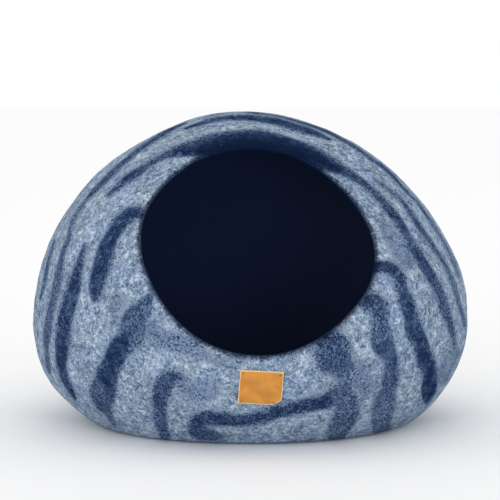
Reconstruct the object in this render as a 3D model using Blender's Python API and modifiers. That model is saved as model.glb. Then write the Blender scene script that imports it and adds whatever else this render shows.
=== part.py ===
"""A wet-felted cat cave: one seamless shell of thick wool felt, shaped like a
flattened pebble with a round mouth in its upper front, and a small leather
patch under the mouth.

Metres, +Z up. The front faces -Y, and +X is on the right of someone who looks
at the front. The origin is on the floor, under the middle of the shell.
"""

from collections import namedtuple
from math import atan2, cos, exp, pi, radians, sin, tau

import bmesh
import bpy
from mathutils import Matrix, Vector

# The outside of the shell, before the small swells and hollows. It is widest at
# its waist. Below the waist it would close UNDERSIDE further down, but the floor
# flattens it on the way, over a bend of FLOOR_BLEND.
HALF_WIDTH = 0.2500
HALF_DEPTH = 0.215
HEIGHT = 0.354
WAIST_HEIGHT = 0.1145
UNDERSIDE = 0.160
FLOOR_BLEND = 0.007

# How round the pebble is: a power of 2 is an ellipse, more is fuller and less is
# more pointed. The pairs are for the section's spread and for its height.
PLAN_POWER = 2.08
CROWN_POWERS = (1.89, 1.89)
BELLY_POWERS = (2.35, 2.0)

# How far the top of the crown stands to the right and to the back of the middle
CROWN_LEAN = (-0.007, 0.030)

# The felt, and the bevel that rounds the cut edge of the mouth
WALL = 0.006
LIP_ROUNDING = 0.0026

# The mouth: a nearly round cut about an axis that looks forward and up. The heart
# is the point on that axis, deep inside the shell, from which all is laid out.
MOUTH_CENTRE = Vector((0.0087, -0.155, 0.2126))
MOUTH_TILT = radians(32)
MOUTH_TURN = radians(2)
HEART_DEPTH = 0.170

# The mouth's radius, measured HEART_DEPTH in front of the heart, at even steps
# about its axis: from its right side over the top, then the left and the bottom.
MOUTH_RADII = (
    0.1235, 0.118, 0.115, 0.120, 0.127, 0.1285, 0.128, 0.126, 0.127,
    0.123, 0.1185, 0.1195, 0.1235, 0.126, 0.126, 0.1225, 0.121, 0.124,
)

# Facets
SHELL_SEGMENTS = 56
SHELL_RINGS = 32
RINGS_CUT_AWAY = 6

# The leather patch, the corner trimmed off it, and its place as seen from the heart
PATCH_WIDTH = 0.0455
PATCH_HEIGHT = 0.0385
PATCH_THICKNESS = 0.002
PATCH_CORNER = (0.0085, 0.0055)
PATCH_EDGE_BEVEL = 0.0004
PATCH_BEARING = radians(2.2)
PATCH_RISE = radians(-14.5)
PATCH_TURN = radians(-3.5)
PATCH_CELLS = (8, 6)
PATCH_CLEARANCE = 0.0003

# What hand felting leaves in the wall. bearing is degrees round from the front
# towards +X, rise is degrees above the level of the heart, reach is how far the
# hollow spreads and depth how far it sinks. A negative depth is a swell.
Hollow = namedtuple("Hollow", "bearing rise reach depth")
HOLLOWS = (
    Hollow(bearing=-109, rise=59, reach=0.035, depth=0.0018),
    Hollow(bearing=-96, rise=42, reach=0.028, depth=-0.0017),
    Hollow(bearing=-94, rise=28, reach=0.032, depth=-0.0016),
    Hollow(bearing=-90, rise=17, reach=0.030, depth=-0.0010),
    Hollow(bearing=-92, rise=4, reach=0.040, depth=0.0004),
    Hollow(bearing=-88, rise=-18, reach=0.036, depth=-0.0026),
    Hollow(bearing=-80, rise=-31, reach=0.036, depth=0.0010),
    Hollow(bearing=88, rise=10, reach=0.040, depth=-0.0020),
    Hollow(bearing=83, rise=-11, reach=0.040, depth=-0.0008),
    Hollow(bearing=78, rise=-28, reach=0.036, depth=-0.0022),
    Hollow(bearing=88, rise=58, reach=0.035, depth=-0.0014),
    Hollow(bearing=-52, rise=14, reach=0.040, depth=0.0022),
    Hollow(bearing=-38, rise=-16, reach=0.038, depth=-0.0018),
    Hollow(bearing=44, rise=-12, reach=0.042, depth=0.0020),
    Hollow(bearing=56, rise=20, reach=0.040, depth=-0.0020),
    Hollow(bearing=130, rise=36, reach=0.055, depth=0.0034),
    Hollow(bearing=148, rise=4, reach=0.060, depth=-0.0030),
    Hollow(bearing=180, rise=40, reach=0.060, depth=-0.0032),
    Hollow(bearing=190, rise=10, reach=0.050, depth=0.0034),
    Hollow(bearing=222, rise=30, reach=0.055, depth=0.0030),
    Hollow(bearing=230, rise=-4, reach=0.050, depth=-0.0028),
    Hollow(bearing=20, rise=86, reach=0.060, depth=0.0008),
)

FELT_COLOUR = (0.20, 0.29, 0.46, 1)
FELT_ROUGHNESS = 0.95
LEATHER_COLOUR = (0.70, 0.31, 0.06, 1)
LEATHER_ROUGHNESS = 0.6

# Surfaces are found by halving a distance of at most FAR, SEARCH_STEPS times
SEARCH_STEPS = 36
FAR = 0.6


def towards(bearing, rise):
    """The direction at this bearing from the front and this rise, in radians."""
    return Vector((sin(bearing) * cos(rise), -cos(bearing) * cos(rise), sin(rise)))


MOUTH_AXIS = towards(MOUTH_TURN, MOUTH_TILT)
MOUTH_RIGHT = Vector((cos(MOUTH_TURN), sin(MOUTH_TURN), 0))
MOUTH_UP = MOUTH_AXIS.cross(MOUTH_RIGHT)
HEART = MOUTH_CENTRE - MOUTH_AXIS * HEART_DEPTH


def crossing(inside):
    """The distance, from 0 to FAR, at which inside(distance) stops being true."""
    near, far = 0.0, FAR
    for _ in range(SEARCH_STEPS):
        middle = (near + far) / 2
        if inside(middle):
            near = middle
        else:
            far = middle
    return near


def within_pebble(point):
    """Whether a point is inside the smooth pebble that the shell is felted over."""
    if point.z > WAIST_HEIGHT:
        ring_power, rise_power = CROWN_POWERS
        rise = (point.z - WAIST_HEIGHT) / (HEIGHT - WAIST_HEIGHT)
        lean = rise * rise
    else:
        ring_power, rise_power = BELLY_POWERS
        rise = (WAIST_HEIGHT - point.z) / UNDERSIDE
        lean = 0
    across = abs(point.x - CROWN_LEAN[0] * lean) / HALF_WIDTH
    along = abs(point.y - CROWN_LEAN[1] * lean) / HALF_DEPTH
    ring = (across**PLAN_POWER + along**PLAN_POWER) ** (1 / PLAN_POWER)
    return ring**ring_power + rise**rise_power < 1


def pebble_point(direction):
    reach = crossing(lambda distance: within_pebble(HEART + direction * distance))
    return HEART + direction * reach


HOLLOW_CENTRES = [
    pebble_point(towards(radians(hollow.bearing), radians(hollow.rise))) for hollow in HOLLOWS
]


def sunk(point):
    """How far the hollows take the wall in at a point of the pebble."""
    depth = 0
    for hollow, centre in zip(HOLLOWS, HOLLOW_CENTRES):
        depth += hollow.depth * exp(-(((point - centre).length / hollow.reach) ** 2))
    return depth


def felt_point(direction):
    """The shell's outer surface in a direction from the heart, before it is set on the floor."""
    point = pebble_point(direction)
    return point - direction * sunk(point)


def set_on_floor(point):
    """The point, with what would reach below the floor spread flat on it."""
    height = point.z
    if height <= -FLOOR_BLEND:
        height = 0
    elif height < FLOOR_BLEND:
        height = (height + FLOOR_BLEND) ** 2 / (4 * FLOOR_BLEND)
    return Vector((point.x, point.y, height))


def mouth_radius(around):
    """The mouth's radius at an angle about its axis, on a smooth curve through MOUTH_RADII."""
    count = len(MOUTH_RADII)
    place = around % tau / tau * count
    step = int(place)
    t = place - step
    before, start, end, after = (MOUTH_RADII[(step + k) % count] for k in (-1, 0, 1, 2))
    slope_in = (end - before) / 2
    slope_out = (after - start) / 2
    bend = 2 * (start - end) + slope_in + slope_out
    return start + t * (slope_in + t * (3 * (end - start) - 2 * slope_in - slope_out + t * bend))


def direction_about_mouth(around, share):
    """A direction from the heart: share runs from 0 at the mouth's edge to 1 at the far pole."""
    edge = atan2(mouth_radius(around), HEART_DEPTH)
    polar = edge + (pi - edge) * share
    outwards = MOUTH_RIGHT * cos(around) + MOUTH_UP * sin(around)
    return MOUTH_AXIS * cos(polar) + outwards * sin(polar)


def material(name, colour, roughness):
    finish = bpy.data.materials.new(name)
    finish.use_nodes = True
    shader = finish.node_tree.nodes["Principled BSDF"]
    shader.inputs["Base Color"].default_value = colour
    shader.inputs["Roughness"].default_value = roughness
    shader.inputs["Metallic"].default_value = 0
    return finish


def new_object(name, mesh, collection, finish):
    data = bpy.data.meshes.new(name)
    mesh.to_mesh(data)
    mesh.free()
    data.shade_smooth()
    data.materials.append(finish)
    made = bpy.data.objects.new(name, data)
    collection.objects.link(made)
    return made


def add_wall(made, thickness, offset):
    wall = made.modifiers.new("wall", "SOLIDIFY")
    wall.thickness = thickness
    wall.offset = offset
    wall.use_even_offset = True


def round_edges(made, width, segments):
    rounding = made.modifiers.new("rounding", "BEVEL")
    rounding.width = width
    rounding.segments = segments
    rounding.limit_method = "ANGLE"
    rounding.angle_limit = radians(50)


def build_shell(collection):
    """A ball with its pole on the mouth's axis, cut open there and pushed out to the pebble."""
    mesh = bmesh.new()
    bmesh.ops.create_uvsphere(mesh, u_segments=SHELL_SEGMENTS, v_segments=SHELL_RINGS, radius=1)
    cut = pi * RINGS_CUT_AWAY / SHELL_RINGS
    cap = [face for face in mesh.faces if face.calc_center_median().normalized().z > cos(cut)]
    bmesh.ops.delete(mesh, geom=cap, context="FACES")
    for vertex in mesh.verts:
        around = atan2(vertex.co.y, vertex.co.x)
        share = (vertex.co.angle(Vector((0, 0, 1))) - cut) / (pi - cut)
        vertex.co = set_on_floor(felt_point(direction_about_mouth(around, max(share, 0))))
    finish = material("blue_felt", FELT_COLOUR, FELT_ROUGHNESS)
    shell = new_object("felt_shell", mesh, collection, finish)
    add_wall(shell, WALL, -1)
    round_edges(shell, LIP_ROUNDING, 2)
    return shell


def patch_frame():
    """The patch's middle on the shell, and its turn: its own +Z points out of the wall."""
    def place(bearing_step, rise_step):
        return felt_point(towards(PATCH_BEARING + bearing_step, PATCH_RISE + rise_step))

    step = radians(2)
    middle = place(0, 0)
    right = (place(step, 0) - place(-step, 0)).normalized()
    up = place(0, step) - place(0, -step)
    out = right.cross(up).normalized()
    facing = Matrix((right, out.cross(right), out)).transposed().to_4x4()
    return Matrix.Translation(middle) @ facing @ Matrix.Rotation(PATCH_TURN, 4, "Z")


def height_over_patch_plane(frame, x, y):
    """How far the felt stands out, along the patch's own Z, at a place on the patch."""
    start = 0.02

    def outside(distance):
        point = frame @ Vector((x, y, start - distance))
        spoke = point - HEART
        return spoke.length > (felt_point(spoke.normalized()) - HEART).length

    return start - crossing(outside)


def build_patch(collection):
    """A small leather rectangle with one corner trimmed, lying on the curve of the felt."""
    mesh = bmesh.new()
    bmesh.ops.create_grid(mesh, x_segments=PATCH_CELLS[0], y_segments=PATCH_CELLS[1], size=0.5)
    bmesh.ops.scale(mesh, vec=(PATCH_WIDTH, PATCH_HEIGHT, 1), verts=mesh.verts)
    trim_x, trim_y = PATCH_CORNER
    bmesh.ops.bisect_plane(
        mesh,
        geom=mesh.verts[:] + mesh.edges[:] + mesh.faces[:],
        plane_co=(PATCH_WIDTH / 2 - trim_x, -PATCH_HEIGHT / 2, 0),
        plane_no=(trim_y, -trim_x, 0),
        clear_outer=True,
    )
    frame = patch_frame()
    for vertex in mesh.verts:
        vertex.co.z = height_over_patch_plane(frame, vertex.co.x, vertex.co.y) + PATCH_CLEARANCE
    finish = material("tan_leather", LEATHER_COLOUR, LEATHER_ROUGHNESS)
    patch = new_object("leather_patch", mesh, collection, finish)
    patch.matrix_world = frame
    add_wall(patch, PATCH_THICKNESS, 1)
    round_edges(patch, PATCH_EDGE_BEVEL, 1)
    return patch


def main():
    for leftover in list(bpy.data.objects):
        bpy.data.objects.remove(leftover)
    collection = bpy.data.collections.new("felt_cat_cave")
    bpy.context.scene.collection.children.link(collection)
    build_shell(collection)
    build_patch(collection)


main()
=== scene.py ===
"""The looks of a wet-felted cat cave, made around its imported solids.

Metres, +Z up. The mouth faces -Y. The file is laid out as an add-on: sizes and
colours are properties, and each piece has its own operator.
"""

from collections import namedtuple
from math import cos, pi, radians, sin, tau

import bmesh
import bpy
import numpy as np
from bpy.props import FloatProperty, FloatVectorProperty, IntProperty, PointerProperty
from mathutils import Matrix, Vector, noise
from mathutils.bvhtree import BVHTree


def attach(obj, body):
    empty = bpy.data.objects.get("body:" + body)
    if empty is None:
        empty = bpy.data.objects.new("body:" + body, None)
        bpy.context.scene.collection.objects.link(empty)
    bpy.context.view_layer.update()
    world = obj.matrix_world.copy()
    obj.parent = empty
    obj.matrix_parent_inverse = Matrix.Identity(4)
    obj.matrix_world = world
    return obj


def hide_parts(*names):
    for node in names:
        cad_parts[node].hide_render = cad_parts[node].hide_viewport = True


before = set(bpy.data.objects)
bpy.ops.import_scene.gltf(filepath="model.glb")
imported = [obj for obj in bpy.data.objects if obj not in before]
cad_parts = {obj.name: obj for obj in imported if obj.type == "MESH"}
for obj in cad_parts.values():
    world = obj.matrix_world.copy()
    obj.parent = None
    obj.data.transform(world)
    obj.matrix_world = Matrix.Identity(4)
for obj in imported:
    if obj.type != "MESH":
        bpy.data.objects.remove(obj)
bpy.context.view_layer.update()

bl_info = {
    "name": "Felt Cat Cave",
    "version": (1, 0, 0),
    "blender": (4, 5, 0),
    "location": "3D View > Sidebar > Cat Cave",
    "description": "A wet-felted cat cave with navy streaks and a small leather label",
    "category": "Object",
}

# --- The form of the felt, the same as in the solids ---------------------------------

HALF_WIDTH = 0.250
HALF_DEPTH = 0.215
HEIGHT = 0.354
WAIST_HEIGHT = 0.1145
UNDERSIDE = 0.160
FLOOR_BLEND = 0.007
PLAN_POWER = 2.08
CROWN_POWERS = (1.89, 1.89)
BELLY_POWERS = (2.35, 2.0)
CROWN_LEAN = (-0.007, 0.030)

MOUTH_CENTRE = np.array((0.0087, -0.155, 0.2126))
MOUTH_TILT = radians(32)
MOUTH_TURN = radians(2)
HEART_DEPTH = 0.170
# The mouth's radii at even steps about its axis, from the right over the top
MOUTH_RADII = np.array((
    0.1235, 0.118, 0.115, 0.120, 0.127, 0.1285, 0.128, 0.126, 0.127,
    0.123, 0.1185, 0.1195, 0.1235, 0.126, 0.126, 0.1225, 0.121, 0.124,
))

# Shallow hollows, and swells where the depth is below zero. The bearing and the rise
# are in degrees as seen from the heart, the reach and the depth in metres.
Hollow = namedtuple("Hollow", "bearing rise reach depth")
HOLLOWS = (
    Hollow(bearing=-109, rise=59, reach=0.035, depth=0.0018),
    Hollow(bearing=-96, rise=42, reach=0.028, depth=-0.0017),
    Hollow(bearing=-94, rise=28, reach=0.032, depth=-0.0016),
    Hollow(bearing=-90, rise=17, reach=0.030, depth=-0.0010),
    Hollow(bearing=-92, rise=4, reach=0.040, depth=0.0004),
    Hollow(bearing=-88, rise=-18, reach=0.036, depth=-0.0026),
    Hollow(bearing=-80, rise=-31, reach=0.036, depth=0.0010),
    Hollow(bearing=88, rise=10, reach=0.040, depth=-0.0020),
    Hollow(bearing=83, rise=-11, reach=0.040, depth=-0.0008),
    Hollow(bearing=78, rise=-28, reach=0.036, depth=-0.0022),
    Hollow(bearing=88, rise=58, reach=0.035, depth=-0.0014),
    Hollow(bearing=-52, rise=14, reach=0.040, depth=0.0022),
    Hollow(bearing=-38, rise=-16, reach=0.038, depth=-0.0018),
    Hollow(bearing=44, rise=-12, reach=0.042, depth=0.0020),
    Hollow(bearing=56, rise=20, reach=0.040, depth=-0.0020),
    Hollow(bearing=130, rise=36, reach=0.055, depth=0.0034),
    Hollow(bearing=148, rise=4, reach=0.060, depth=-0.0030),
    Hollow(bearing=180, rise=40, reach=0.060, depth=-0.0032),
    Hollow(bearing=190, rise=10, reach=0.050, depth=0.0034),
    Hollow(bearing=222, rise=30, reach=0.055, depth=0.0030),
    Hollow(bearing=230, rise=-4, reach=0.050, depth=-0.0028),
    Hollow(bearing=20, rise=86, reach=0.060, depth=0.0008),
)

# Surfaces are found by halving a distance of at most FAR, SEARCH_STEPS times
SEARCH_STEPS = 30
FAR = 0.6

# There are no small lumps up to the first height above the floor, and all from the second
LUMP_HEIGHTS = (0.004, 0.03)
# How smooth the lumps are, and how much finer each layer of them is than the last
LUMP_SMOOTHNESS = 0.9
LUMP_SHRINK = 2.0
LUMP_LAYERS = 3

# The ball that becomes the shell has one ring more, to be cut away at the mouth, for
# every RINGS_PER_CUT rings that stay
RINGS_PER_CUT = 5
# Edges sharper than this get rounded
SHARP = radians(50)

# Millimetres in a metre
TO_MM = 1000

# --- The label and its tacks ---------------------------------------------------------

# The label's place as seen from the heart, and how it is turned there
LABEL_BEARING = radians(2.2)
LABEL_RISE = radians(-14.5)
LABEL_TURN = radians(-3.5)
# How far it lies off the felt, and how far its cut edges are rounded
LABEL_CLEARANCE = 0.0003
LABEL_ROUNDING = 0.00035
# Rays that look for the felt under the label start this far above it
RAY_START = 0.02

# The corners curl off the felt past CURL_START, as a share of the label's size
CURL_START = 0.45
CURL_LIFT = 0.02
# Each tack pulls a dimple into the leather
DIMPLE_DEPTH = 0.00025
DIMPLE_REACH = 0.0012
# The low tacks sit lower by a share of their inset, and the one at the trimmed corner
# moves in by a share of the trim's width
LOW_TACK_DROP = 0.3
TRIM_TACK_SHIFT = 0.5

# The two stitches of a tack are turned so, and cut across there so that they can bow,
# as shares of their length from the middle
STITCH_TURNS = (radians(38), radians(-47))
STITCH_CUTS = np.linspace(-0.4, 0.4, 7)
# In thread diameters, how far a stitch stands off the leather and how far its ends dip,
# and the power by which it bows
STITCH_STANDOFF = 0.30
STITCH_DIP = 1.1
STITCH_BOW = 2.5

# --- The camera, whose picture also places the streaks of the front ------------------

PHOTO_SIZE = 500
SENSOR = 0.036
CAMERA_LENS = 0.12446
CAMERA_DISTANCE = 2.0
CAMERA_RISE = radians(6.5)
CAMERA_SHIFT = 0.0424
CAMERA_PIVOT = np.array((0, 0, 0.170))
PIXELS_FOCAL = PHOTO_SIZE * CAMERA_LENS / SENSOR
MM_PER_PIXEL = TO_MM * CAMERA_DISTANCE / PIXELS_FOCAL

# --- The floor and the lights --------------------------------------------------------

FLOOR_SIZE = 36
# Painted shade: the floor's colour is a little darker nearer than the first Y, and its own
# colour past the second
FLOOR_DEPTHS = (-0.6, 2.5)
FLOOR_NEAR_SHADE = 0.945

Light = namedtuple("Light", "name place target size power colour")
LIGHTS = (
    Light("overhead", (0.0, 0.3, 2.4), (0, 0, 0.1), size=2.0, power=2, colour=(1, 1, 1)),
    Light(
        "front_left", (-1.7, -2.6, 0.8), (0, 0, 0.12), size=1.6, power=10.5,
        colour=(1, 1, 1)),
    Light(
        "front_low", (0.5, -2.7, 0.12), (0, 0, 0.05), size=1.0, power=15,
        colour=(0.58, 0.74, 1.0)),
)

# --- The navy streaks ----------------------------------------------------------------
# The fill is how deep a streak counts at most, in millimetres: where it is small, the
# wool's mottling shows through, and below zero only smudges of navy are left. On the
# front, each point of a path is a column, a row and a breadth, in the picture's pixels.
Streak = namedtuple("Streak", "name fill path")
FRONT_STREAKS = (
    Streak("crown line", 6, (
        (203, 116, 2), (230, 111, 3), (255, 112, 3), (278, 115, 3.5), (302, 122, 3.5),
        (326, 131, 3), (342, 139.5, 3), (357, 148.5, 3), (372, 159.5, 3),
    )),
    Streak("crown line, right", 2.5, (
        (369, 157, 3), (382, 166.5, 3), (391, 174.5, 3), (400, 184.5, 2.5), (410, 195, 2),
        (417, 202, 2), (424, 212, 2.5), (429, 219, 1.5),
    )),
    Streak("crown line, right end", -0.3, (
        (427, 216, 2.5), (435, 228, 2.5), (443, 241, 2.5), (451.5, 257, 2.5), (459, 277, 2),
    )),
    Streak("crown second line", 7, (
        (184, 129, 2), (194, 125.5, 3), (204, 122.5, 4), (213, 120, 4.5), (229, 118, 5),
        (253, 118, 5.5), (278, 122, 6.5), (294, 127, 7), (308, 131, 6.5), (319, 135, 4.5),
        (331, 140, 2),
    )),
    Streak("over the mouth, left", 4.5, (
        (107, 196, 2), (111, 192.5, 3.5), (117, 187, 5), (129, 178, 8), (142.5, 169, 6.5),
        (154, 161, 5), (166, 155.5, 6), (173, 153, 9), (180, 151, 11.5), (190, 149, 15),
    )),
    Streak("over the mouth", 9.5, (
        (182, 150, 12), (194, 148.5, 16), (204, 147, 20), (221, 143, 21), (245, 141, 22),
        (265, 142, 22), (286, 147, 21), (303, 152, 19), (313, 155.5, 18), (325, 162, 16),
        (337, 168, 12.5), (346, 172, 8),
    )),
    Streak("over the mouth, right", 4, (
        (327, 163, 14), (337, 168, 12), (350, 174.4, 8.5), (361, 181.6, 6.5),
        (373, 191.7, 6.5), (381, 200, 7.5), (391, 212, 8.5), (401.5, 226, 8.5),
        (409, 240, 7.5), (418.5, 256, 9), (430, 275, 10), (439.5, 293, 8.5), (442, 300, 7),
    )),
    Streak("over the mouth, right end", 2.2, (
        (439, 291, 8), (443, 302, 8.5), (445.5, 311, 9), (449, 320, 7.5), (451.5, 330, 6),
        (454, 340, 3.5), (455, 347, 2),
    )),
    Streak("right thread", 0.8, ((376, 180, 2), (388, 189, 3), (401, 200, 4))),
    Streak("right second", 3.5, (
        (401, 200, 2), (407, 208, 4), (414, 218, 5), (419, 226.5, 5), (429, 240, 4.5),
        (437.5, 253, 4), (443, 262, 3),
    )),
    Streak("right second's end", 0.4, (
        (438, 253, 4), (447, 268, 4), (453, 283, 4), (458, 299, 4), (462, 314, 3.5),
        (465, 326, 3),
    )),
    Streak("right arch", 4.5, (
        (374, 268, 10), (383, 266.5, 12), (391, 269, 12), (396.5, 274, 12),
        (400, 282, 11.5), (403, 291, 11), (406, 300, 14), (409, 310, 14),
        (411.5, 320, 13.5), (414, 330, 17.5), (419, 340, 16), (422, 349, 16),
    )),
    Streak("right arch's foot", 9, (
        (423, 350, 12), (425.5, 360, 18), (429, 370, 14), (430, 380, 14), (428.5, 390, 15),
        (427, 397, 10), (427, 403, 3),
    )),
    Streak("right inner, above", 2.2, (
        (366, 306, 9), (372, 300, 13), (379, 307, 16), (380, 320, 14), (380.5, 331, 17),
        (381, 342, 20), (382, 351, 12),
    )),
    Streak("right inner", 0.8, (
        (381, 325, 14), (384, 337, 16), (387, 349, 17), (391, 362, 14), (391.5, 371, 13.5),
        (389.5, 381, 15), (388.5, 391, 14), (384, 404, 21), (382, 419, 20), (382, 431, 16),
    )),
    Streak("right inner's core", 2, (
        (388, 340, 5), (393, 354, 7), (395, 368, 7), (394, 382, 6), (391, 395, 4),
    )),
    Streak("smudge by the rim, right", -1.5, (
        (384, 228, 8), (397, 246, 13), (408, 264, 8),
    )),
    Streak("under the mouth", 3.0, ((334, 341, 16), (333, 348, 31), (333, 356, 34))),
    Streak("under the mouth, wide part", 1.5, (
        (327, 365, 15), (337, 366, 16), (346, 366, 15),
    )),
    Streak("under the mouth, below", 0.4, (
        (343, 374, 10), (346, 381, 8), (343, 388, 14), (341, 394, 20),
    )),
    Streak("lower wave", 6.5, (
        (194, 424, 9), (198, 421, 13), (204, 419, 14), (214, 418.5, 14), (228, 420, 12),
        (240, 421, 10.5), (250, 419.5, 10.5), (259, 418, 12), (267, 416, 11),
        (276, 412.5, 12), (287, 410.5, 12), (301, 406.5, 13), (316, 404, 13),
        (327, 401.5, 14),
    )),
    Streak("lower wave's end", 1.1, (
        (326, 401, 12), (336, 396, 17), (345, 399, 20), (348, 406, 21), (346, 415, 22),
        (341, 425, 21), (336, 434, 17),
    )),
    Streak("lower wave's start", 1.5, (
        (192, 426, 8), (195, 431, 13), (202, 434, 12), (211, 435, 11), (220, 437, 6),
    )),
    Streak("left short arch", 5, (
        (180, 377.5, 7), (174, 377, 11), (167.5, 380, 16), (163, 387, 17), (161, 396, 16),
        (159.5, 405, 12),
    )),
    Streak("left short arch's foot", 2, (
        (160, 403, 14), (160, 414, 12), (161.5, 425, 11), (165, 436, 8),
    )),
    Streak("left diagonal, above", 1.4, (
        (151, 295, 4), (146, 302, 10), (140, 311, 17), (134.5, 319, 23), (133, 327, 25),
        (132, 334, 25), (127, 341, 23),
    )),
    Streak("left diagonal", 9, (
        (134, 328, 8), (127, 336, 16), (121.5, 345, 21.5), (116, 355, 21), (112.5, 364, 20),
        (108, 372, 22), (106, 379, 18),
    )),
    Streak("left diagonal's foot", 3, (
        (107.5, 374, 21), (105.5, 382, 24), (103.5, 391, 25), (103.5, 398, 22),
        (104.5, 406, 13),
    )),
    Streak("left diagonal's end", 0.4, (
        (104.5, 404, 9), (107, 411, 7), (111, 418, 4.5), (115, 426, 2.5),
    )),
    Streak("left of the mouth", 6.5, (
        (138, 212, 10), (131, 214, 14), (121.5, 221, 14.5), (117, 228, 14.5),
        (111.5, 237, 13), (107.5, 245, 15.5), (105, 253, 16.5), (102.5, 262, 16.5),
        (100, 270, 16), (98, 278, 16), (96, 287, 14), (95, 295, 10), (95, 300, 5),
    )),
    Streak("left second", 7, (
        (85, 244, 2), (83.5, 250, 3), (80, 261, 6), (77, 274, 9), (74, 288, 13),
        (69.5, 303, 14.5), (65, 319, 14), (63, 334, 13.5), (62, 349, 13.5), (61.5, 364, 10),
        (64.5, 378, 8), (70, 389, 6), (75.5, 399, 3),
    )),
    Streak("left third", 4.5, (
        (186, 122.5, 2), (176, 127, 2.5), (166, 132, 4.5), (154, 139.5, 4),
        (142, 147.5, 4.5), (130, 157, 4.5), (118, 167.5, 5), (105, 180, 5), (95, 190, 4.5),
        (89, 196.5, 3),
    )),
    Streak("left third, middle", 0.2, (
        (90, 195, 3), (84, 203, 3), (77, 213, 3), (71.5, 225, 3.5), (69, 236, 4),
    )),
    Streak("left third, below", 1.2, (
        (70, 230, 3), (68, 240, 4), (63.5, 250, 4.5), (61, 261, 5), (58.5, 274, 6),
        (56, 289, 6.5), (52, 304, 6), (49, 319, 6.5), (47, 334, 7), (46.5, 349, 3.5),
        (48, 364, 4), (50, 374, 2),
    )),
    Streak("smudge by the diagonal", -1.2, (
        (147, 328, 12), (160, 337, 15), (175, 342, 15), (190, 347, 12), (204, 354, 7),
    )),
    Streak("smudge over the diagonal", -2.2, (
        (119, 299, 12), (121, 309, 16), (122, 318, 12),
    )),
    Streak("smudge under the mouth", -2.0, ((205, 357, 7), (222, 361, 8), (241, 359, 5))),
    Streak("smudge by the short arch", -2.0, (
        (186, 384, 14), (202, 390, 18), (216, 386, 12),
    )),
    Streak("smudge by the right inner", -1.7, (
        (352, 366, 16), (361, 377, 18), (367, 387, 14),
    )),
    Streak("smudge at the right foot", -1.8, (
        (440, 378, 14), (448, 362, 12), (456, 352, 8),
    )),
    Streak("left edge", 1.2, (
        (55, 240, 2), (49.5, 257, 2.5), (46, 274, 3.5), (43, 289, 3), (40, 300, 2),
    )),
)

# Elsewhere, each point is an angle about the mouth's axis, from the right over the top,
# and an angle away from that axis, both in degrees, and a breadth in millimetres.
OTHER_STREAKS = (
    Streak("behind the crown", 7, (
        (18, 89, 7), (34, 85, 14), (50, 81, 20), (68, 78, 25), (84, 78, 21), (98, 80, 14),
        (112, 81, 7),
    )),
    Streak("behind the crown, left", 6, (
        (96, 88, 7), (110, 87, 15), (126, 88, 21), (142, 91, 19), (156, 95, 12),
        (168, 98, 6),
    )),
    Streak("right shoulder", 8, (
        (-28, 99, 9), (-12, 102, 17), (6, 102, 24), (24, 99, 23), (42, 96, 17),
        (58, 93, 13), (74, 91, 7),
    )),
    Streak("left shoulder", 8, (
        (208, 101, 8), (194, 105, 17), (178, 107, 24), (162, 107, 27), (147, 104, 22),
        (133, 100, 13), (121, 97, 6),
    )),
    Streak("back arc", 8, (
        (14, 115, 9), (30, 112, 19), (48, 107, 25), (64, 103, 21), (80, 104, 13),
        (96, 109, 15), (112, 113, 24), (128, 113, 27), (144, 114, 19), (158, 117, 8),
    )),
    Streak("right flank", 6, (
        (-20, 118, 9), (-5, 123, 20), (12, 126, 27), (28, 124, 23), (42, 120, 15),
        (54, 118, 7),
    )),
    Streak("left flank", 5, (
        (200, 121, 9), (186, 127, 20), (170, 130, 27), (154, 127, 22), (141, 126, 11),
    )),
    Streak("back island", 1.6, (
        (38, 120, 8), (52, 119, 20), (66, 121, 29), (79, 125, 23), (90, 129, 10),
    )),
    Streak("left spur", 3, ((146, 128, 7), (134, 128, 17), (121, 126, 19), (109, 124, 8))),
    Streak("low wave", 5, (
        (156, 148, 7), (141, 143, 17), (124, 139, 24), (108, 140, 22), (93, 146, 16),
        (79, 150, 15), (63, 147, 20), (47, 140, 24), (31, 137, 17), (17, 139, 8),
    )),
    Streak("right foot", 5, ((-12, 138, 9), (4, 147, 19), (22, 152, 22), (40, 154, 12))),
    Streak("left foot", 4, ((202, 132, 8), (188, 141, 18), (172, 149, 24), (156, 159, 15))),
    Streak("heel", 3, ((122, 157, 8), (106, 156, 17), (88, 160, 20), (66, 164, 12))),
    Streak("sole, front", 5, (
        (250, 112, 14), (262, 122, 22), (272, 133, 26), (270, 146, 18), (252, 154, 9),
    )),
    Streak("sole, right", 3, (
        (300, 112, 13), (308, 124, 22), (318, 137, 17), (326, 148, 8),
    )),
    Streak("sole, left", 3, (
        (226, 116, 14), (228, 130, 21), (236, 143, 15), (232, 154, 8),
    )),
)

# How squarely the felt faces the camera where the front's streaks begin to count, and
# where they alone count
FACING_NONE = 0.02
FACING_ALL = 0.13
# On felt that slants away, a breadth in the picture stands for more, down to this facing
FACING_SLANTED = 0.3
# No place counts as further than this from a streak, in millimetres
FAR_FROM_STREAKS = 30
# The other streaks' outlines wander twice: at this spread and by this reach, in metres
WANDERS = ((0.055, 0.007), (0.016, 0.0022))
# Without a seed of its own, the wandering would differ from run to run
WANDER_SEED = 4


# --- Sizes and colours a user would change -------------------------------------------


class CaveSizes(bpy.types.PropertyGroup):
    wall: FloatProperty(
        name="Wall", description="Thickness of the felt", default=0.006, unit="LENGTH")
    lip_rounding: FloatProperty(
        name="Lip rounding", description="How far the cut edge of the mouth is rounded",
        default=0.0026, unit="LENGTH")
    segments: IntProperty(
        name="Segments", description="Steps about the mouth's axis", default=360)
    rings: IntProperty(
        name="Rings", description="Steps from the mouth to the far pole", default=120)
    lump_height: FloatProperty(
        name="Lump height", description="Height of the small lumps left by hand felting",
        default=0.0006, unit="LENGTH")
    lump_spread: FloatProperty(
        name="Lump spread", description="Distance between the small lumps",
        default=0.028, unit="LENGTH")


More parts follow.
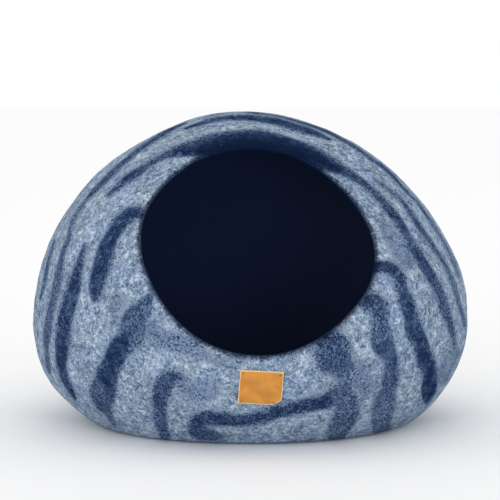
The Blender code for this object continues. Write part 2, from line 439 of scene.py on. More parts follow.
class LabelSizes(bpy.types.PropertyGroup):
    width: FloatProperty(
        name="Width", description="Width of the leather label", default=0.0455,
        unit="LENGTH")
    height: FloatProperty(
        name="Height", description="Height of the leather label", default=0.0385,
        unit="LENGTH")
    thickness: FloatProperty(
        name="Thickness", description="Thickness of the leather", default=0.002,
        unit="LENGTH")
    trim_width: FloatProperty(
        name="Trim width", description="How much the trimmed corner takes off the bottom",
        default=0.0085, unit="LENGTH")
    trim_height: FloatProperty(
        name="Trim height", description="How much the trimmed corner takes off the side",
        default=0.0055, unit="LENGTH")
    tack_inset: FloatProperty(
        name="Tack inset", description="Distance of the thread tacks from the edges",
        default=0.0034, unit="LENGTH")
    tack_length: FloatProperty(
        name="Tack length", description="Length of each thread stitch", default=0.0022,
        unit="LENGTH")
    thread: FloatProperty(
        name="Thread", description="Diameter of the thread", default=0.0008, unit="LENGTH")


class CaveColours(bpy.types.PropertyGroup):
    pale_wool: FloatVectorProperty(
        name="Pale wool", description="Palest fibres of the light felt",
        default=(0.50, 0.59, 0.73), subtype="COLOR")
    pale_grey_wool: FloatVectorProperty(
        name="Pale grey wool", description="Palest fibres where the wool is greyer",
        default=(0.525, 0.612, 0.695), subtype="COLOR")
    blue_wool: FloatVectorProperty(
        name="Blue wool", description="Middle colour of the light felt",
        default=(0.200, 0.270, 0.390), subtype="COLOR")
    grey_wool: FloatVectorProperty(
        name="Grey wool", description="Middle colour where the wool is greyer",
        default=(0.212, 0.284, 0.362), subtype="COLOR")
    deep_wool: FloatVectorProperty(
        name="Deep wool", description="Darker specks in the light felt",
        default=(0.066, 0.108, 0.180), subtype="COLOR")
    blended_wool: FloatVectorProperty(
        name="Blended wool", description="Light felt where it mixes with a streak",
        default=(0.110, 0.180, 0.360), subtype="COLOR")
    navy_wool: FloatVectorProperty(
        name="Navy wool", description="Streaks", default=(0.0075, 0.0200, 0.063),
        subtype="COLOR")
    navy_fibre: FloatVectorProperty(
        name="Fibres over navy", description="Lighter fibres that lie over the streaks",
        default=(0.100, 0.155, 0.270), subtype="COLOR")
    # Partly the navy lining, partly painted shade where the rim turns away into the dark
    # mouth
    rim_shade_navy: FloatVectorProperty(
        name="Wool at the rim", description="Darkest navy, at the edge of the mouth",
        default=(0.0045, 0.0110, 0.034), subtype="COLOR")
    inside_wool: FloatVectorProperty(
        name="Inside wool", description="Inner layer of the felt",
        default=(0.0275, 0.0405, 0.099), subtype="COLOR")
    leather: FloatVectorProperty(
        name="Leather", description="Face of the label", default=(0.665, 0.272, 0.040),
        subtype="COLOR")
    leather_edge: FloatVectorProperty(
        name="Leather edge", description="Raw cut edge of the label",
        default=(0.80, 0.58, 0.38), subtype="COLOR")
    thread: FloatVectorProperty(
        name="Thread", description="Thread of the tacks", default=(0.13, 0.03, 0.012),
        subtype="COLOR")
    floor: FloatVectorProperty(
        name="Floor", description="Floor and backdrop", default=(0.97, 0.97, 0.97),
        subtype="COLOR")


# --- The form, worked out for many points at once ------------------------------------


def towards(bearing, rise):
    """Directions at bearings from the front and rises, in radians."""
    bearing, rise = np.broadcast_arrays(bearing, rise)
    flat = np.cos(rise)
    return np.stack([np.sin(bearing) * flat, -np.cos(bearing) * flat, np.sin(rise)], -1)


MOUTH_AXIS = towards(MOUTH_TURN, MOUTH_TILT)
MOUTH_RIGHT = np.array((cos(MOUTH_TURN), sin(MOUTH_TURN), 0))
MOUTH_UP = np.cross(MOUTH_AXIS, MOUTH_RIGHT)
HEART = MOUTH_CENTRE - MOUTH_AXIS * HEART_DEPTH


def unit(vectors):
    return vectors / np.linalg.norm(vectors, axis=-1, keepdims=True)


def smooth_step(value, low, high):
    share = np.clip((value - low) / (high - low), 0, 1)
    return share * share * (3 - 2 * share)


def fullness(points):
    """Under 1 inside the smooth pebble that the felt's outside follows, else over 1."""
    x, y, z = points.T
    above = z > WAIST_HEIGHT
    rise = np.where(
        above, (z - WAIST_HEIGHT) / (HEIGHT - WAIST_HEIGHT), (WAIST_HEIGHT - z) / UNDERSIDE)
    lean = np.where(above, rise**2, 0)
    across = np.abs(x - CROWN_LEAN[0] * lean) / HALF_WIDTH
    along = np.abs(y - CROWN_LEAN[1] * lean) / HALF_DEPTH
    ring = (across**PLAN_POWER + along**PLAN_POWER) ** (1 / PLAN_POWER)
    ring_power = np.where(above, CROWN_POWERS[0], BELLY_POWERS[0])
    rise_power = np.where(above, CROWN_POWERS[1], BELLY_POWERS[1])
    return ring**ring_power + rise**rise_power


def pebble_points(directions):
    """Where lines from the heart leave the pebble."""
    near = np.zeros(len(directions))
    far = np.full(len(directions), FAR)
    for _ in range(SEARCH_STEPS):
        middle = (near + far) / 2
        inside = fullness(HEART + directions * middle[:, None]) < 1
        near = np.where(inside, middle, near)
        far = np.where(inside, far, middle)
    return HEART + directions * near[:, None]


def pebble_normals(points):
    """The way the pebble's surface faces at points near it."""
    nudge = 0.0005
    slopes = [
        fullness(points + step) - fullness(points - step) for step in np.eye(3) * nudge
    ]
    return unit(np.stack(slopes, -1))


HOLLOW_CENTRES = pebble_points(towards(
    np.radians([hollow.bearing for hollow in HOLLOWS]),
    np.radians([hollow.rise for hollow in HOLLOWS])))


def sunk(points):
    """How far the hollows take the wall in at points of the pebble."""
    depth = np.zeros(len(points))
    for hollow, centre in zip(HOLLOWS, HOLLOW_CENTRES):
        gap = np.linalg.norm(points - centre, axis=1)
        depth += hollow.depth * np.exp(-((gap / hollow.reach) ** 2))
    return depth


def felt_points(directions):
    """The shell's outer surface, before it is set on the floor."""
    points = pebble_points(directions)
    return points - directions * sunk(points)[:, None]


def set_on_floor(points):
    """The points, with what would reach below the floor spread flat on it."""
    z = points[:, 2]
    bent = (z + FLOOR_BLEND) ** 2 / (4 * FLOOR_BLEND)
    z = np.where(z <= -FLOOR_BLEND, 0, np.where(z < FLOOR_BLEND, bent, z))
    return np.column_stack([points[:, :2], z])


def mouth_radius(around):
    """The mouth's radius at angles about its axis, on a curve through MOUTH_RADII."""
    count = len(MOUTH_RADII)
    place = around % tau / tau * count
    step = place.astype(int)
    t = place - step
    before, start, end, after = (MOUTH_RADII[(step + k) % count] for k in (-1, 0, 1, 2))
    slope_in = (end - before) / 2
    slope_out = (after - start) / 2
    bend = 2 * (start - end) + slope_in + slope_out
    pull = 3 * (end - start) - 2 * slope_in - slope_out
    return start + t * (slope_in + t * (pull + t * bend))


def about_mouth(around, polar):
    """Directions from the heart, at angles about the mouth's axis and away from it."""
    outwards = np.cos(around)[:, None] * MOUTH_RIGHT + np.sin(around)[:, None] * MOUTH_UP
    return np.cos(polar)[:, None] * MOUTH_AXIS + np.sin(polar)[:, None] * outwards


def lumps(points, spread):
    """Small lumps of about -1 to 1, which fade out at the floor."""
    heights = [
        noise.fractal(Vector(point) / spread, LUMP_SMOOTHNESS, LUMP_SHRINK, LUMP_LAYERS)
        for point in points
    ]
    return np.array(heights) * smooth_step(points[:, 2], *LUMP_HEIGHTS)


# --- The streaks ---------------------------------------------------------------------

CAMERA_BACK = towards(0.0, CAMERA_RISE)
CAMERA_UP = np.array((0, sin(CAMERA_RISE), cos(CAMERA_RISE)))
CAMERA_PLACE = CAMERA_PIVOT + CAMERA_BACK * CAMERA_DISTANCE


def photo_places(points):
    """The columns and rows at which points show in the camera's picture."""
    sight = points - CAMERA_PLACE
    scale = PIXELS_FOCAL / -(sight @ CAMERA_BACK)
    columns = PHOTO_SIZE / 2 + scale * sight[:, 0]
    rows = PHOTO_SIZE * (0.5 + CAMERA_SHIFT) - scale * (sight @ CAMERA_UP)
    return np.stack([columns, rows], -1)


def smooth_path(path, steps=6):
    """A smooth curve through the path's points, as many short steps."""
    path = np.array(path, float)
    padded = np.vstack([2 * path[0] - path[1], path, 2 * path[-1] - path[-2]])
    rows = []
    for before, start, end, after in zip(padded, padded[1:], padded[2:], padded[3:]):
        for t in np.arange(steps) / steps:
            pull = 2 * before - 5 * start + 4 * end - after
            rows.append(start + t / 2 * (
                end - before + t * (pull + t * (3 * (start - end) + after - before))))
    return np.array(rows + [path[-1]])


def depth_in_path(places, path):
    """How far places lie inside a band along the path, whose last column is its breadth."""
    best = np.full(len(places), -np.inf)
    for start, end in zip(path, path[1:]):
        along = end[:-1] - start[:-1]
        share = np.clip((places - start[:-1]) @ along / (along @ along), 0, 1)[:, None]
        gap = np.linalg.norm(places - start[:-1] - share * along, axis=1)
        half = (start[-1] + share[:, 0] * (end[-1] - start[-1])) / 2
        best = np.maximum(best, half - gap)
    return best


def depth_in_streaks(places, streaks, path_of, scale=1.0):
    """How far places lie inside their nearest streak, each counted up to its fill."""
    depth = np.full(len(places), -FAR_FROM_STREAKS)
    for streak in streaks:
        inside = depth_in_path(places, path_of(smooth_path(streak.path))) * scale
        depth = np.maximum(depth, np.minimum(inside, streak.fill))
    return depth


def wander(points, spread, reach):
    """The points shifted a little, so that what is drawn by them gets an uneven outline."""
    shift = [noise.noise_vector(Vector(point) / spread) for point in points]
    return points + np.array(shift) * reach


def path_on_felt(rows):
    """A path of angles about the mouth's axis, as places on the felt in millimetres."""
    on_felt = pebble_points(about_mouth(np.radians(rows[:, 0]), np.radians(rows[:, 1])))
    return np.column_stack([set_on_floor(on_felt) * TO_MM, rows[:, 2]])


def streak_depth(points):
    """How far points of the felt lie inside a navy streak, in millimetres."""
    to_camera = unit(CAMERA_PLACE - points)
    facing = (pebble_normals(points) * to_camera).sum(1)
    front = depth_in_streaks(
        photo_places(points) * MM_PER_PIXEL, FRONT_STREAKS,
        lambda path: path * MM_PER_PIXEL, 1 / np.clip(facing, FACING_SLANTED, 1))
    noise.seed_set(WANDER_SEED)
    drawn = points
    for spread, reach in WANDERS:
        drawn = wander(drawn, spread, reach)
    other = depth_in_streaks(drawn * TO_MM, OTHER_STREAKS, path_on_felt)
    share = smooth_step(facing, FACING_NONE, FACING_ALL)
    return np.clip(other + share * (front - other), -FAR_FROM_STREAKS, None)


def distance_off_mouth(points):
    """How far points of the felt lie from the edge of the mouth, in millimetres."""
    from_heart = points - HEART
    reach = np.linalg.norm(from_heart, axis=1)
    polar = np.arccos(np.clip(from_heart @ MOUTH_AXIS / reach, -1, 1))
    around = np.arctan2(from_heart @ MOUTH_UP, from_heart @ MOUTH_RIGHT)
    return (polar - np.arctan2(mouth_radius(around), HEART_DEPTH)) * reach * TO_MM


# --- Modelling helpers ---------------------------------------------------------------


def start_alone():
    """Goes back to object mode, with nothing selected."""
    if bpy.context.object and bpy.context.object.mode != "OBJECT":
        bpy.ops.object.mode_set(mode="OBJECT")
    bpy.ops.object.select_all(action="DESELECT")


def name_piece(name):
    """Names the new piece, which is the active one."""
    piece = bpy.context.object
    piece.name = name
    piece.data.name = name
    return piece


def vertex_places(mesh):
    places = np.zeros(len(mesh.vertices) * 3)
    mesh.vertices.foreach_get("co", places)
    return places.reshape(-1, 3)


def place_vertices(mesh, places):
    mesh.vertices.foreach_set("co", np.asarray(places, float).ravel())
    mesh.update()


def store(mesh, name, values):
    """Keeps a number for each vertex, which the materials read."""
    attribute = mesh.attributes.new(name, "FLOAT", "POINT")
    attribute.data.foreach_set("value", np.asarray(values, np.float32))


def apply_modifier(piece, name, kind, **settings):
    """Adds a modifier to the piece, which is the active one, and applies it."""
    modifier = piece.modifiers.new(name, kind)
    for setting, value in settings.items():
        setattr(modifier, setting, value)
    bpy.ops.object.modifier_apply(modifier=name)


def round_edges(piece, width, segments):
    apply_modifier(
        piece, "rounding", "BEVEL", width=width, segments=segments, limit_method="ANGLE",
        angle_limit=SHARP)


def finish_piece(piece, material, node=None):
    """Gives a piece its material in its slot, hangs it under the root body, and hides the
    CAD node that it replaces, if any.
    """
    piece.data.materials.clear()
    piece.data.materials.append(material)
    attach(piece, "root")
    if node:
        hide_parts(node)


# --- Material helpers ----------------------------------------------------------------

NOISE_MIDDLE = 0.5
# The colour sockets of a Mix node, which share their names with others
MIX_FIRST, MIX_SECOND, MIX_RESULT = 6, 7, 2


def set_inputs(tree, node, inputs):
    """Sets a node's inputs to values, or links them to outputs."""
    for key, value in inputs.items():
        if isinstance(value, bpy.types.NodeSocket):
            tree.links.new(value, node.inputs[key])
        else:
            node.inputs[key].default_value = value


def add_node(tree, kind, inputs=None, **settings):
    node = tree.nodes.new(kind)
    for setting, value in settings.items():
        setattr(node, setting, value)
    set_inputs(tree, node, inputs or {})
    return node


def new_material(name):
    """A material, its tree, its shader and the coordinates of the piece that wears it."""
    material = bpy.data.materials.new(name)
    material.use_nodes = True
    tree = material.node_tree
    place = add_node(tree, "ShaderNodeTexCoord").outputs["Object"]
    return material, tree, tree.nodes["Principled BSDF"], place


def stored(tree, name):
    """The number that store keeps for each vertex."""
    return add_node(tree, "ShaderNodeAttribute", attribute_name=name).outputs["Fac"]


def maths(tree, operation, first, second=0.0, third=0.0):
    inputs = {0: first, 1: second, 2: third}
    return add_node(tree, "ShaderNodeMath", inputs, operation=operation).outputs[0]


def add_weighed(tree, total, part, weight):
    return maths(tree, "MULTIPLY_ADD", part, weight, total)


def grain(tree, place, size, detail=2.0, distortion=0.0, offset=0.0):
    """Noise from 0 to 1 whose blobs measure about size, in metres."""
    if offset:
        shift = {0: place, 1: (offset, -offset, offset)}
        place = add_node(tree, "ShaderNodeVectorMath", shift, operation="ADD").outputs[0]
    inputs = {
        "Vector": place, "Scale": 1 / size, "Detail": detail, "Distortion": distortion,
    }
    return add_node(tree, "ShaderNodeTexNoise", inputs).outputs["Fac"]


def weighed_noise(tree, start, layers):
    """The start value plus each layer of noise, counted from its middle and weighed."""
    total = start
    for layer, weight in layers:
        centred = maths(tree, "SUBTRACT", layer, NOISE_MIDDLE)
        total = add_weighed(tree, total, centred, weight)
    return total


def ramp(tree, value, low, high, bottom=0.0, top=1.0):
    """Runs smoothly from bottom to top as value goes from low to high."""
    inputs = {
        "Value": value, "From Min": low, "From Max": high, "To Min": bottom, "To Max": top,
    }
    node = add_node(tree, "ShaderNodeMapRange", inputs, interpolation_type="SMOOTHSTEP")
    return node.outputs[0]


def scaled(colour, by):
    return tuple(value * by for value in colour)


def blend_colours(tree, share, first, second):
    def colour(value):
        return value if isinstance(value, bpy.types.NodeSocket) else (*value, 1)

    inputs = {"Factor": share, MIX_FIRST: colour(first), MIX_SECOND: colour(second)}
    node = add_node(tree, "ShaderNodeMix", inputs, data_type="RGBA", clamp_factor=True)
    return node.outputs[MIX_RESULT]


def curls(tree, place, size, thin, offset=0.0):
    """Thin curling lines, like single wool fibres: 1 on a line and 0 away from it."""
    value = grain(tree, place, size, detail=1.5, distortion=1.2, offset=offset)
    off_line = maths(tree, "ABSOLUTE", maths(tree, "SUBTRACT", value, NOISE_MIDDLE))
    return ramp(tree, off_line, low=0.0, high=thin, bottom=1.0, top=0.0)


def bump(tree, height, strength, distance):
    inputs = {"Strength": strength, "Distance": distance, "Height": height}
    return add_node(tree, "ShaderNodeBump", inputs).outputs[0]


# --- Materials -----------------------------------------------------------------------

Wool = namedtuple("Wool", "place tufts specks fine fibres tone")


def mottled_wool(tree, place):
    """The layers of tufts, specks and single fibres that all the felt shares."""
    clouds = grain(tree, place, size=0.045, detail=2)
    tufts = grain(tree, place, size=0.010, detail=3, offset=3.1)
    specks = grain(tree, place, size=0.0042, detail=3, distortion=0.9, offset=7.7)
    fine = grain(tree, place, size=0.0022, detail=2, distortion=0.6, offset=1.9)
    long_curls = curls(tree, place, size=0.0085, thin=0.045)
    short_curls = curls(tree, place, size=0.0052, thin=0.055, offset=5.3)
    fibres = maths(tree, "MAXIMUM", long_curls, short_curls)
    weights = ((clouds, 0.5), (tufts, 1.2), (specks, 2.1), (fine, 1.5))
    tone = weighed_noise(tree, NOISE_MIDDLE, weights)
    return Wool(place, tufts, specks, fine, fibres, tone)


def light_wool(tree, colours, wool, streak):
    """Light felt in two hues, with dark specks and pale fibres, bluer by the streaks."""
    hue_clouds = grain(tree, wool.place, size=0.034, detail=3, offset=17.3)
    hue = ramp(tree, hue_clouds, low=0.35, high=0.65)
    middle = blend_colours(tree, hue, colours.blue_wool, colours.grey_wool)
    pale = blend_colours(tree, hue, colours.pale_wool, colours.pale_grey_wool)
    off_specks = ramp(tree, wool.tone, low=0.05, high=0.55)
    light = blend_colours(tree, off_specks, colours.deep_wool, middle)
    pale_share = ramp(tree, wool.tone, low=0.5, high=1.2)
    pale_share = add_weighed(tree, pale_share, wool.fibres, weight=0.22)
    light = blend_colours(tree, pale_share, light, pale)
    within = ramp(tree, streak, low=-3.0, high=1.0, top=0.25)
    return blend_colours(tree, within, light, colours.blended_wool)


def navy_wool(tree, colours, wool, streak, off_mouth):
    """Navy felt under lighter fibres, which are fewer in a streak's core; towards the
    mouth's rim the navy is darkened with painted shade.
    """
    in_tufts = ramp(tree, wool.tufts, low=0.35, high=0.65, bottom=0.15, top=0.8)
    lighter = maths(tree, "MULTIPLY", wool.fibres, in_tufts)
    in_pale_tone = ramp(tree, wool.tone, low=0.4, high=1.3)
    lighter = add_weighed(tree, lighter, in_pale_tone, weight=0.5)
    off_core = ramp(tree, streak, low=6.0, high=12.0, bottom=1.0, top=0.2)
    lighter = maths(tree, "MULTIPLY", lighter, off_core)
    navy = blend_colours(tree, lighter, colours.navy_wool, colours.navy_fibre)
    # Painted shade: the navy darkens towards black close to the mouth's rim, and over a
    # wider reach in a streak's core
    rim_shade = ramp(tree, off_mouth, low=1.0, high=15.0, bottom=0.8, top=0.0)
    navy = blend_colours(tree, rim_shade, navy, colours.rim_shade_navy)
    shade_off_rim = ramp(tree, off_mouth, low=8.0, high=36.0, bottom=0.9, top=0.0)
    in_core = ramp(tree, streak, low=4.0, high=10.0)
    core_shade_off_rim = maths(tree, "MULTIPLY", shade_off_rim, in_core)
    return blend_colours(tree, core_shade_off_rim, navy, colours.rim_shade_navy)


def felt_material(colours):
    material, tree, shader, place = new_material("wet_felted_wool")
    streak = stored(tree, "streak")
    off_mouth = stored(tree, "off_mouth")
    inside = stored(tree, "inside")
    wool = mottled_wool(tree, place)
    light = light_wool(tree, colours, wool, streak)
    navy = navy_wool(tree, colours, wool, streak, off_mouth)

    weights = ((wool.tufts, 13.0), (wool.specks, 20.0), (wool.fine, 28.0))
    ragged = weighed_noise(tree, 0.0, weights)
    ragged_parts = grain(tree, place, size=0.030, detail=1, offset=11.3)
    raggedness = ramp(tree, ragged_parts, low=0.35, high=0.65, bottom=0.45, top=1.45)
    edge = maths(tree, "MULTIPLY_ADD", ragged, raggedness, streak)
    outside = blend_colours(tree, ramp(tree, edge, low=-2.7, high=2.3), light, navy)

    # Painted shade at the lip, partly the navy lining showing over the rounded edge: the
    # outside darkens within a few millimetres of the mouth
    lip = weighed_noise(tree, off_mouth, ((wool.specks, 4.0), (wool.fine, 2.0)))
    lip_shade = ramp(tree, lip, low=0.5, high=6.5, bottom=0.9, top=0.0)
    outside = blend_colours(tree, lip_shade, outside, colours.rim_shade_navy)
    # The lining is darkest by the lip, a painted shade, and its own inside colour further
    # in
    off_lip = ramp(tree, off_mouth, low=3.0, high=30.0)
    lining = blend_colours(tree, off_lip, colours.rim_shade_navy, colours.inside_wool)
    turn = weighed_noise(tree, inside, ((wool.specks, 0.4),))
    whole = blend_colours(tree, ramp(tree, turn, low=0.15, high=0.45), outside, lining)

    height = maths(tree, "MULTIPLY", wool.specks, 0.7)
    for layer, weight in ((wool.tufts, 1.2), (wool.fibres, 0.25), (wool.fine, 0.25)):
        height = add_weighed(tree, height, layer, weight)
    set_inputs(tree, shader, {
        "Base Color": whole,
        "Normal": bump(tree, height, strength=0.55, distance=0.0012),
        "Roughness": 0.95,
        "Specular IOR Level": 0.0,
    })
    return material


def leather_material(colours):
    material, tree, shader, place = new_material("tan_leather")
    clouds = grain(tree, place, size=0.014, detail=3)
    creases = grain(tree, place, size=0.0012, detail=3, distortion=0.6)
    pores = add_node(tree, "ShaderNodeTexVoronoi", {"Vector": place, "Scale": 1400})
    deep = scaled(colours.leather, by=0.78)
    patches = ramp(tree, clouds, low=0.68, high=0.34)
    face = blend_colours(tree, patches, colours.leather, deep)
    inset = weighed_noise(tree, stored(tree, "rim"), ((creases, 0.5),))
    off_edge = ramp(tree, inset, low=0.45, high=0.95)
    height = add_weighed(tree, pores.outputs["Distance"], creases, weight=0.6)
    set_inputs(tree, shader, {
        "Base Color": blend_colours(tree, off_edge, colours.leather_edge, face),
        "Normal": bump(tree, height, strength=0.35, distance=0.0003),
        "Roughness": ramp(tree, creases, low=0.3, high=0.7, bottom=0.48, top=0.66),
        "Specular IOR Level": 0.35,
    })
    return material


def thread_material(colours):
    material, tree, shader, place = new_material("tack_thread")
    twist = ramp(tree, grain(tree, place, size=0.0004), low=0.4, high=0.7)
    light = scaled(colours.thread, by=2.2)
    set_inputs(tree, shader, {
        "Base Color": blend_colours(tree, twist, colours.thread, light),
        "Roughness": 0.8,
    })
    return material


def floor_material(colours):
    material, tree, shader, place = new_material("pale_floor")
    depth = add_node(tree, "ShaderNodeSeparateXYZ", {0: place}).outputs["Y"]
    away = ramp(tree, depth, *FLOOR_DEPTHS)
    # Painted shade: the floor's colour is darker towards the camera
    near = scaled(colours.floor, by=FLOOR_NEAR_SHADE)
    set_inputs(tree, shader, {
        "Base Color": blend_colours(tree, away, near, colours.floor),
        "Roughness": 0.9,
        "Specular IOR Level": 0.1,
    })
    return material


# --- Operators -----------------------------------------------------------------------


class CAVE_OT_shell(bpy.types.Operator):
    """Felts the one-piece shell: a ball cut open at its mouth and pushed out to its form"""

    bl_idname = "cat_cave.shell"
    bl_label = "Felt Shell"

    def execute(self, context):
        sizes = context.scene.cave_sizes
        start_alone()
        cut_rings = sizes.rings // RINGS_PER_CUT
        ball_rings = sizes.rings + cut_rings
        bpy.ops.mesh.primitive_uv_sphere_add(
            segments=sizes.segments, ring_count=ball_rings, radius=1)
        shell = name_piece("felt_cave_shell")
        cut = pi * cut_rings / ball_rings
        self.open_mouth(shell, cut)
        self.push_to_form(shell, cut, sizes)
        self.give_wall(shell, sizes)
        bpy.ops.object.shade_smooth()
        self.mark_wool(shell)
        finish_piece(shell, felt_material(context.scene.cave_colours), "felt_shell")
        return {"FINISHED"}

    def open_mouth(self, shell, cut):
        bpy.ops.object.mode_set(mode="EDIT")
        mesh = bmesh.from_edit_mesh(shell.data)
        for face in mesh.faces:
            face.select_set(face.calc_center_median().normalized().z > cos(cut))
        bmesh.update_edit_mesh(shell.data)
        bpy.ops.mesh.delete(type="FACE")
        bpy.ops.object.mode_set(mode="OBJECT")

    def push_to_form(self, shell, cut, sizes):
        ball = vertex_places(shell.data)
        around = np.arctan2(ball[:, 1], ball[:, 0])
        share = (np.arccos(np.clip(unit(ball)[:, 2], -1, 1)) - cut) / (pi - cut)
        edge = np.arctan2(mouth_radius(around), HEART_DEPTH)
        directions = about_mouth(around, edge + (pi - edge) * np.clip(share, 0, 1))
        points = felt_points(directions)
        raised = lumps(points, sizes.lump_spread) * sizes.lump_height
        points += pebble_normals(points) * raised[:, None]
        place_vertices(shell.data, set_on_floor(points))

    def give_wall(self, shell, sizes):
        shell.vertex_groups.new(name="inside")
        apply_modifier(
            shell, "wall", "SOLIDIFY", thickness=sizes.wall, offset=-1,
            use_even_offset=True, shell_vertex_group="inside")
        round_edges(shell, sizes.lip_rounding, segments=4)

    def mark_wool(self, shell):
        """Stores what the colours follow: the streaks, the distance from the mouth that the
        painted shade at the rim follows, and the inside.
        """
        mesh = shell.data
        inside = np.zeros(len(mesh.vertices))
        for vertex in mesh.vertices:
            for group in vertex.groups:
                inside[vertex.index] = group.weight
        shell.vertex_groups.clear()
        store(mesh, "inside", inside)
        places = vertex_places(mesh)
        store(mesh, "streak", streak_depth(places))
        store(mesh, "off_mouth", distance_off_mouth(places))


def label_frame():
    """The label's middle on the shell, and its turn: its own +Z points out of the wall."""
    step = radians(2)
    bearings = LABEL_BEARING + np.array((0, step, -step, 0, 0))
    rises = LABEL_RISE + np.array((0, 0, 0, step, -step))
    ends = felt_points(towards(bearings, rises))
    middle, right_end, left_end, top, bottom = map(Vector, ends)
    right = (right_end - left_end).normalized()
    out = right.cross(top - bottom).normalized()
    facing = Matrix((right, out.cross(right), out)).transposed().to_4x4()
    return Matrix.Translation(middle) @ facing @ Matrix.Rotation(LABEL_TURN, 4, "Z")


def surface_height(surface, label_place, x, y):
    """How far a surface stands out at a place on the label, along the label's own Z."""
    down = label_place.to_3x3() @ Vector((0, 0, -1))
    spot, _, _, distance = surface.ray_cast(label_place @ Vector((x, y, RAY_START)), down)
    if spot is None:
        raise RuntimeError("nothing lies under the label at this place")
    return RAY_START - distance


class CAVE_OT_label(bpy.types.Operator):
    """Cuts the small leather label, trims its corner and lays it on the felt"""

    bl_idname = "cat_cave.label"
    bl_label = "Leather Label"

    def execute(self, context):
        sizes = context.scene.label_sizes
        shell = bpy.data.objects["felt_cave_shell"]
        start_alone()
        bpy.ops.mesh.primitive_grid_add(x_subdivisions=60, y_subdivisions=50, size=1)
        label = name_piece("leather_label")
        self.cut_outline(label, sizes)
        flat = vertex_places(label.data)
        self.lay_on_felt(label, flat, shell, sizes)
        store(label.data, "rim", self.off_edge(flat, sizes) * TO_MM)
        apply_modifier(
            label, "thickness", "SOLIDIFY", thickness=sizes.thickness, offset=1,
            use_even_offset=True)
        round_edges(label, LABEL_ROUNDING, segments=2)
        bpy.ops.object.shade_smooth_by_angle(angle=SHARP)
        finish_piece(
            label, leather_material(context.scene.cave_colours), "leather_patch")
        return {"FINISHED"}

    def cut_outline(self, label, sizes):
        bpy.ops.object.mode_set(mode="EDIT")
        bpy.ops.mesh.select_all(action="SELECT")
        bpy.ops.transform.resize(value=(sizes.width, sizes.height, 1))
        bpy.ops.mesh.bisect(
            plane_co=(sizes.width / 2 - sizes.trim_width, -sizes.height / 2, 0),
            plane_no=Vector((sizes.trim_height, -sizes.trim_width, 0)).normalized(),
            clear_outer=True)
        bpy.ops.object.mode_set(mode="OBJECT")

    def off_edge(self, flat, sizes):
        """How far in from the outline each vertex lies."""
        x, y = flat[:, 0], flat[:, 1]
        slant = Vector((sizes.trim_height, -sizes.trim_width)).normalized()
        corner = (sizes.width / 2 - sizes.trim_width) * slant.x - sizes.height / 2 * slant.y
        to_trim = corner - (x * slant.x + y * slant.y)
        to_sides = np.minimum(sizes.width / 2 - np.abs(x), sizes.height / 2 - np.abs(y))
        return np.maximum(np.minimum(to_sides, to_trim), 0)

    def lay_on_felt(self, label, flat, shell, sizes):
        felt = BVHTree.FromObject(shell, bpy.context.evaluated_depsgraph_get())
        place = label_frame()
        tacks = tack_places(sizes)
        placed = []
        for x, y, _ in flat:
            lift = surface_height(felt, place, x, y) + LABEL_CLEARANCE
            for tack_x, tack_y in tacks:
                gap = np.hypot(x - tack_x, y - tack_y)
                lift -= DIMPLE_DEPTH * np.exp(-((gap / DIMPLE_REACH) ** 2))
            off_middle = np.hypot(x / sizes.width, y / sizes.height)
            lift += CURL_LIFT * max(0, off_middle - CURL_START) ** 2
            placed.append(place @ Vector((x, y, lift)))
        place_vertices(label.data, placed)


def tack_places(sizes):
    """The four tacks, in the label's own plane."""
    x = sizes.width / 2 - sizes.tack_inset
    y = sizes.height / 2 - sizes.tack_inset
    low = -y - sizes.tack_inset * LOW_TACK_DROP
    return ((-x, y), (x, y), (-x, low), (x - sizes.trim_width * TRIM_TACK_SHIFT, low))


class CAVE_OT_tacks(bpy.types.Operator):
    """Sews the four corner tacks, each a small cross of thread"""

    bl_idname = "cat_cave.tacks"
    bl_label = "Thread Tacks"

    def execute(self, context):
        sizes = context.scene.label_sizes
        label = bpy.data.objects["leather_label"]
        leather = BVHTree.FromObject(label, context.evaluated_depsgraph_get())
        place = label_frame()
        stitches = []
        for x, y in tack_places(sizes):
            for turn in STITCH_TURNS:
                stitches.append(self.stitch(leather, place, x, y, turn, sizes))
        start_alone()
        for stitch in stitches:
            stitch.select_set(True)
        context.view_layer.objects.active = stitches[0]
        bpy.ops.object.join()
        tacks = name_piece("label_tacks")
        bpy.ops.object.shade_smooth()
        finish_piece(tacks, thread_material(context.scene.cave_colours))
        return {"FINISHED"}

    def stitch(self, leather, place, x, y, turn, sizes):
        """One short length of thread that bows over the leather and dips in at its ends."""
        start_alone()
        bpy.ops.mesh.primitive_cylinder_add(
            vertices=10, radius=sizes.thread / 2, depth=sizes.tack_length,
            rotation=(0, pi / 2, 0))
        bpy.ops.object.transform_apply(location=True, rotation=True, scale=True)
        bpy.ops.object.mode_set(mode="EDIT")
        for cut in STITCH_CUTS:
            bpy.ops.mesh.select_all(action="SELECT")
            bpy.ops.mesh.bisect(
                plane_co=(cut * sizes.tack_length, 0, 0), plane_no=(1, 0, 0))
        bpy.ops.object.mode_set(mode="OBJECT")
        piece = bpy.context.object
        seat = surface_height(leather, place, x, y) + sizes.thread * STITCH_STANDOFF
        placed = []
        for along, aside, up in vertex_places(piece.data):
            end = min(1, abs(along) / (sizes.tack_length / 2))
            height = seat + up - sizes.thread * STITCH_DIP * end**STITCH_BOW
            spot = Vector((
                x + along * cos(turn) - aside * sin(turn),
                y + along * sin(turn) + aside * cos(turn), height))
            placed.append(place @ spot)
        place_vertices(piece.data, placed)
        return piece


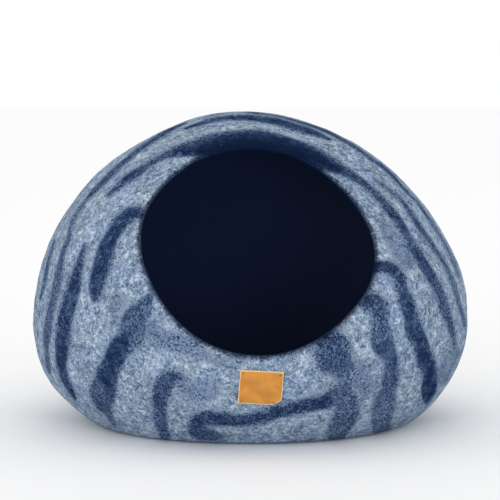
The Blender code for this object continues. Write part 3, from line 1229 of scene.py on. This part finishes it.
class CAVE_OT_stage(bpy.types.Operator):
    """Sets the pale floor, the soft lights, the white air and the camera"""

    bl_idname = "cat_cave.stage"
    bl_label = "Stage"

    def execute(self, context):
        self.lay_floor(context.scene.cave_colours)
        for light in LIGHTS:
            self.hang_light(*light)
        self.set_air()
        self.set_camera()
        return {"FINISHED"}

    def lay_floor(self, colours):
        start_alone()
        bpy.ops.mesh.primitive_plane_add(size=FLOOR_SIZE)
        floor = name_piece("floor")
        floor.data.materials.append(floor_material(colours))

    def hang_light(self, name, place, target, size, power, colour):
        start_alone()
        bpy.ops.object.light_add(type="AREA", location=place)
        light = name_piece(name)
        light.data.shape = "DISK"
        light.data.size = size
        light.data.energy = power
        light.data.color = colour
        aim = Vector(target) - Vector(place)
        light.rotation_euler = aim.to_track_quat("-Z", "Y").to_euler()

    def set_air(self):
        world = bpy.data.worlds.new("studio_air")
        world.use_nodes = True
        background = world.node_tree.nodes["Background"]
        background.inputs["Color"].default_value = (1, 1, 1, 1)
        background.inputs["Strength"].default_value = 1.0
        bpy.context.scene.world = world
        bpy.context.scene.view_settings.view_transform = "Standard"

    def set_camera(self):
        start_alone()
        bpy.ops.object.camera_add(
            location=CAMERA_PLACE, rotation=(pi / 2 - CAMERA_RISE, 0, 0))
        camera = name_piece("camera")
        camera.data.sensor_width = SENSOR * TO_MM
        camera.data.lens = CAMERA_LENS * TO_MM
        camera.data.shift_y = CAMERA_SHIFT
        bpy.context.scene.camera = camera


class CAVE_PT_panel(bpy.types.Panel):
    """Lists the cave's pieces, sizes and colours"""

    bl_idname = "CAVE_PT_panel"
    bl_label = "Felt Cat Cave"
    bl_space_type = "VIEW_3D"
    bl_region_type = "UI"
    bl_category = "Cat Cave"

    def draw(self, context):
        for operator in OPERATORS:
            self.layout.operator(operator.bl_idname)
        for group in GROUPS:
            box = self.layout.box()
            for name in GROUPS[group].__annotations__:
                box.prop(getattr(context.scene, group), name)


OPERATORS = (CAVE_OT_shell, CAVE_OT_label, CAVE_OT_tacks, CAVE_OT_stage)
GROUPS = {"cave_sizes": CaveSizes, "label_sizes": LabelSizes, "cave_colours": CaveColours}


def register():
    for kind in (*GROUPS.values(), *OPERATORS, CAVE_PT_panel):
        bpy.utils.register_class(kind)
    for name, group in GROUPS.items():
        setattr(bpy.types.Scene, name, PointerProperty(type=group))


def unregister():
    for name in GROUPS:
        delattr(bpy.types.Scene, name)
    for kind in (CAVE_PT_panel, *reversed(OPERATORS), *reversed(GROUPS.values())):
        bpy.utils.unregister_class(kind)


def main():
    register()
    bpy.ops.cat_cave.shell()
    bpy.ops.cat_cave.label()
    bpy.ops.cat_cave.tacks()
    bpy.ops.cat_cave.stage()


if __name__ == "__main__":
    main()
